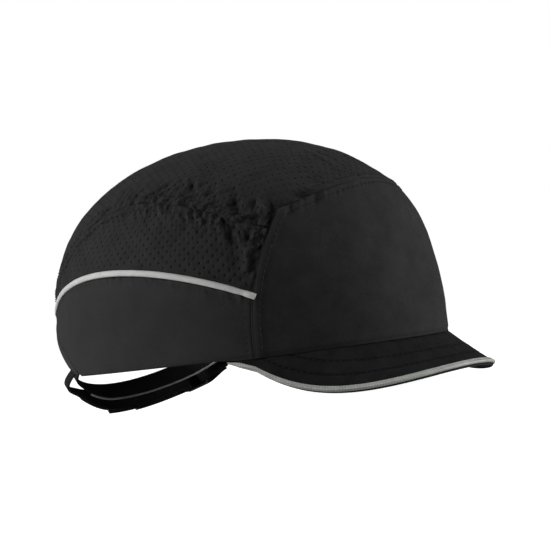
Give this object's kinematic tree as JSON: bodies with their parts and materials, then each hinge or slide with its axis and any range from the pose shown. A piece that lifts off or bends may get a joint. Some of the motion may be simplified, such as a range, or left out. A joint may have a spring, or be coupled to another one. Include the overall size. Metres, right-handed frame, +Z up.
{
  "type": "bump cap",
  "caption": "Fabric bump cap with a short curved brim, reflective side piping, removable padded shell and adjustable nape strap.",
  "frame": {"origin": "centre of the head opening, in the plane of the crown's lower rim", "axes": "the wearer faces -Y, the wearer's left is +X, +Z up through the crown; the brim is at -Y and the nape strap at +Y"},
  "size_m": [0.178, 0.2611, 0.1441],
  "materials": {
    "woven_cloth": "matt black plain weave",
    "perforated_cloth": "matt black knit with small round holes",
    "binding_tape": "black ribbed tape",
    "webbing": "black narrow webbing",
    "hook_and_loop": "black hook-and-loop pile",
    "reflective_trim": "silver-grey retroreflective tape",
    "sweatband_towelling": "black towelling",
    "foam": "dark grey closed-cell foam",
    "moulded_plastic": "black moulded nylon",
    "shell_plastic": "black moulded polymer with a fine texture",
    "brim_plastic": "off-white flexible board, covered on both sides"
  },
  "bodies": {
    "cap": {"front_panel": "woven_cloth", "top_strip": "perforated_cloth", "upper_side_panel_left": "perforated_cloth", "upper_side_panel_right": "perforated_cloth", "lower_side_panel_left": "woven_cloth", "lower_side_panel_right": "woven_cloth", "reflective_piping_left": "reflective_trim", "reflective_piping_right": "reflective_trim", "arch_binding": "binding_tape", "front_seam_tape": "binding_tape", "brim_top_cover": "woven_cloth", "brim_board": "brim_plastic", "brim_under_cover": "woven_cloth", "brim_edge_binding": "reflective_trim", "sweatband": "sweatband_towelling", "brow_foam": "foam", "nape_band": "webbing", "strap_base": "webbing", "strap_loop_patch": "hook_and_loop", "strap_loop": "moulded_plastic", "strap_loop_tab": "webbing"},
    "insert": {"insert_shell": "shell_plastic", "insert_pad_front": "foam", "insert_pad_back": "foam", "insert_pad_left": "foam", "insert_pad_right": "foam", "insert_pad_top": "foam"},
    "strap_tail": {"strap_tail": "webbing", "strap_hook_patch": "hook_and_loop"}
  },
  "joints": [
    {"name": "insert_slide", "type": "slide", "parent": "cap", "child": "insert", "axis": [0, 0, -1], "range_m": [0, 0.04]},
    {"name": "strap_adjust", "type": "hinge", "parent": "cap", "child": "strap_tail", "pos_m": [0, 0.01, 0.0265], "axis": [0, 0.5, 0.866], "range_deg": [-2.5, 14]}
  ]
}
